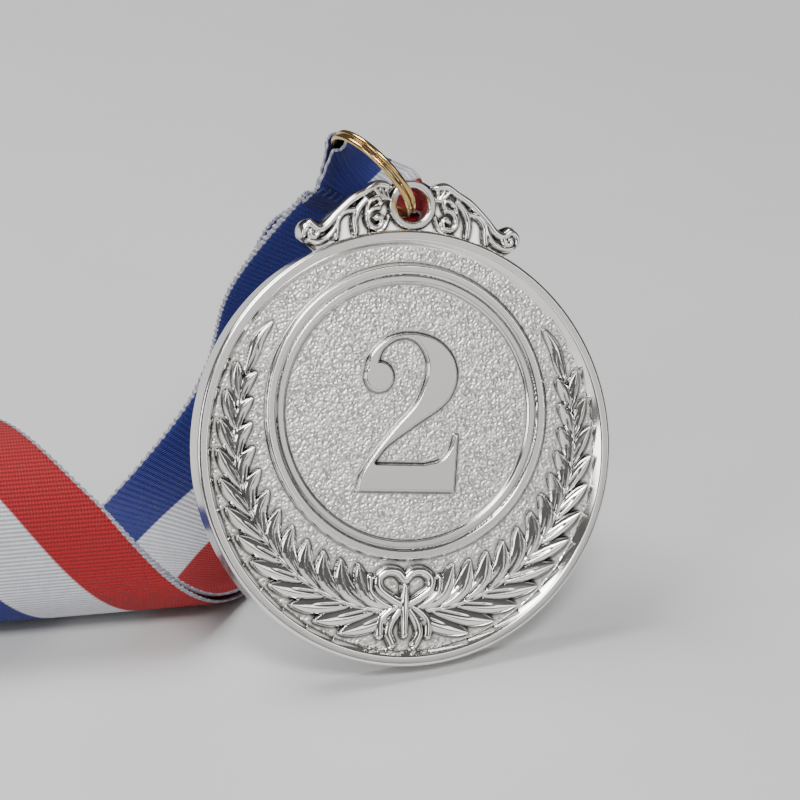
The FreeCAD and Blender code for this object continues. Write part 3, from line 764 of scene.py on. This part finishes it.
def build_ribbon():
    """The whole ribbon as one strip of cloth, from one end in the roll's core to the other."""
    surface, along = smooth_rows(ribbon_rows(), 0.155)
    down = np.gradient(surface, axis=0)
    side = np.gradient(surface, axis=1)
    normal = np.cross(side, down)
    normal /= np.maximum(np.linalg.norm(normal, axis=2), 1e-9)[:, :, None]
    ribs = RIB_HIGH * np.cos(2 * math.pi * along / RIB_PITCH)
    loops = LOOP_WIDE * (0.5 + 0.5 * np.cos(2 * math.pi * along / LOOP_PITCH))
    edge = side[:, -1] / np.linalg.norm(side[:, -1], axis=1)[:, None]
    surface[:, -1] += edge * loops[:, None]
    edge = side[:, 0] / np.linalg.norm(side[:, 0], axis=1)[:, None]
    surface[:, 0] -= edge * loops[:, None]
    half = np.full(surface.shape[:2], CLOTH / 2 - RIB_SUNK) + ribs[:, None]
    half[:, [0, -1]] = SELVAGE_HALF
    front = surface + normal * half[:, :, None]
    back = surface - normal * half[:, :, None]
    rows, columns = surface.shape[:2]
    loop = np.concatenate([front, back[:, ::-1]], axis=1)
    quads = grid_quads(rows, 2 * columns, close_columns=True)
    ends = []
    for row in (0, rows - 1):
        start = row * 2 * columns
        for j in range(columns - 1):
            ends.append([start + j, start + j + 1, start + 2 * columns - 2 - j, start + 2 * columns - 1 - j])
    quads = np.vstack([quads, np.array(ends)])
    ribbon = make_mesh("neck_ribbon", loop.reshape(-1, 3), quads, [ribbon_material()])
    fix_normals(ribbon)
    place = (U + 1) / 2
    for name, values in (("across", np.tile(np.concatenate([place, place[::-1]]), rows)),
                         ("along", np.repeat(along, 2 * columns))):
        ribbon.data.attributes.new(name, "FLOAT", "POINT").data.foreach_set("value", values.astype(np.float32))
    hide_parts("ribbon_sleeve", "ribbon_rear_tail", "ribbon_front_tail", "ribbon_curl", "ribbon_roll")
    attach(ribbon, "ribbon")
    return ribbon


STITCHES, STITCH_PITCH, THREAD = 6, 0.85, 0.085
SEAM_BELOW, SEAM_BACK, STITCH_DEEP, STITCH_HIGH = 3.3, 0.85, 1.02, 0.5
PLY_OFFSET, PLY_TURNS = 0.07, 7


def build_stitches():
    """The seam below the ring: two-ply stitches round both layers."""
    material, nodes, links, shader = new_material("thread")
    fuzz = noise_node(nodes, links, 6000.0)
    tone = ramp_node(nodes, links, fuzz.outputs["Fac"],
                     [(0.3, (0.004, 0.008, 0.09)), (0.7, (0.008, 0.016, 0.16))])
    links.new(tone.outputs["Color"], shader.inputs["Base Color"])
    shader.inputs["Roughness"].default_value = 0.8
    shader.inputs["Sheen Weight"].default_value = 0.2
    bump_node(nodes, links, shader, fuzz.outputs["Fac"], 0.00003)
    seam = RING_CENTRE - FACE * (RING_RADIUS + SEAM_BACK) - RING_AXIS * SEAM_BELOW
    verts, quads, count = [], [], 0
    for number in range(STITCHES):
        middle = seam + unit(TOP_ACROSS) * (number - (STITCHES - 1) / 2) * STITCH_PITCH
        for ply in (0, math.pi):
            turn = np.linspace(0, 2 * math.pi, 60)
            twist = turn * PLY_TURNS + ply
            deep = (STITCH_DEEP + PLY_OFFSET * np.cos(twist))[:, None]
            path = (middle + np.cos(turn)[:, None] * FACE * deep
                    - np.sin(turn)[:, None] * RING_AXIS * STITCH_HIGH
                    + (PLY_OFFSET * np.sin(twist))[:, None] * TOP_ACROSS)
            points, faces = tube(path, THREAD, 8)
            verts.append(points)
            quads.append(faces + count)
            count += len(points)
    stitches = make_mesh("seam_stitches", np.vstack(verts), np.vstack(quads), [material])
    fix_normals(stitches)
    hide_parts("ribbon_stitching")
    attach(stitches, "ribbon")
    return stitches


# ---------------------------------------------------------------- stage

FLOOR_HALF = 3.0
CAMERA_FROM = [-0.325, -0.838, 0.438]
CAMERA_AWAY, CAMERA_LENS, AIM_LEFT, AIM_UP = 350.0, 135.0, 1.08, 5.60
LIGHTS = [  # name, place and size in metres, power in watts
    ("key", (-0.30, 0.30, 0.80), (0.45, 0.45), 8.0),
    ("front", (-0.05, -0.62, 0.80), (0.35, 0.25), 7.0),
    ("panel", (0.36, -0.90, 0.42), (0.60, 0.35), 1.5),
    ("side", (-0.75, -0.25, 0.35), (0.25, 0.45), 2.0)]


def build_floor():
    """A plain pale floor at the height the object stands on."""
    h = FLOOR_HALF
    mesh = bpy.data.meshes.new("floor")
    mesh.from_pydata([(-h, -h, 0), (h, -h, 0), (h, h, 0), (-h, h, 0)], [], [(0, 1, 2, 3)])
    floor = bpy.data.objects.new("floor", mesh)
    bpy.context.scene.collection.objects.link(floor)
    material, nodes, links, shader = new_material("pale_floor")
    cloudy = noise_node(nodes, links, 30.0)
    tone = ramp_node(nodes, links, cloudy.outputs["Fac"],
                     [(0.3, (0.66, 0.66, 0.66)), (0.7, (0.68, 0.68, 0.68))])
    links.new(tone.outputs["Color"], shader.inputs["Base Color"])
    shader.inputs["Roughness"].default_value = 0.45
    mesh.materials.append(material)


def area_light(name, place, size, power):
    """A rectangle of white light that faces the middle of the disc."""
    data = bpy.data.lights.new(name, "AREA")
    data.shape = "RECTANGLE"
    data.size, data.size_y = size
    data.energy = power
    light = bpy.data.objects.new(name, data)
    light.location = place
    light.rotation_euler = (Vector(DISC * MM) - Vector(place)).to_track_quat("-Z", "Y").to_euler()
    bpy.context.scene.collection.objects.link(light)


def build_world():
    """A weak even light from all round."""
    world = bpy.data.worlds.new("studio")
    bpy.context.scene.world = world
    world.use_nodes = True
    sky = world.node_tree.nodes["Background"]
    sky.inputs["Color"].default_value = (0.84, 0.83, 0.82, 1)
    sky.inputs["Strength"].default_value = 0.13


def build_camera():
    """A long lens, low and to the left of the medal's face."""
    front = DISC + FACE * DISC_HALF
    back = unit(CAMERA_FROM)
    right = unit(np.cross([0, 0, 1], back))
    up = np.cross(back, right)
    aim = front - right * AIM_LEFT + up * AIM_UP
    data = bpy.data.cameras.new("camera")
    data.sensor_width, data.lens = 36.0, CAMERA_LENS
    data.clip_start = 0.01
    camera = bpy.data.objects.new("camera", data)
    turn = Matrix(np.stack([right, up, back], 1).tolist()).to_4x4()
    camera.matrix_world = Matrix.Translation(Vector((aim + back * CAMERA_AWAY) * MM)) @ turn
    bpy.context.scene.collection.objects.link(camera)
    bpy.context.scene.camera = camera


build_medal()
build_ring()
ribbon = build_ribbon()
stitches = build_stitches()
build_floor()
build_camera()
for light in LIGHTS:
    area_light(*light)
build_world()
